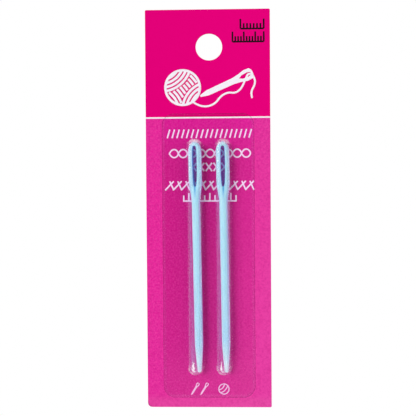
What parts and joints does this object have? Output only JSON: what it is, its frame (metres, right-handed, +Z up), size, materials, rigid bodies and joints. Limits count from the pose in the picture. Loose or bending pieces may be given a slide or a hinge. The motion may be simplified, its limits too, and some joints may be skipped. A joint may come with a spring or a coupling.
{
  "type": "yarn needle pack",
  "caption": "Blunt plastic yarn needles with long eyes, lying loose in the pockets of a clear blister sealed to a printed hanging card.",
  "frame": {"origin": "centre of the hang hole, on the card's back face", "axes": "+Z up the card, +Y out of its back, so that the printed face and the blister look along -Y; +X to the right as the face is seen"},
  "size_m": [0.0377, 0.0038, 0.1202],
  "materials": {
    "printed_card": "matte",
    "clear_sheet": "gloss",
    "needle_plastic": "satin"
  },
  "bodies": {
    "pack": {"backing_card": "printed_card", "clear_blister": "clear_sheet"},
    "left_needle": {"needle_left": "needle_plastic"},
    "right_needle": {"needle_right": "needle_plastic"}
  },
  "joints": [
    {"name": "left_needle_slide", "type": "slide", "parent": "pack", "child": "left_needle", "axis": [0, 0, 1], "range_m": [0, 0.0006]},
    {"name": "right_needle_slide", "type": "slide", "parent": "pack", "child": "right_needle", "axis": [0, 0, 1], "range_m": [0, 0.0006]}
  ]
}
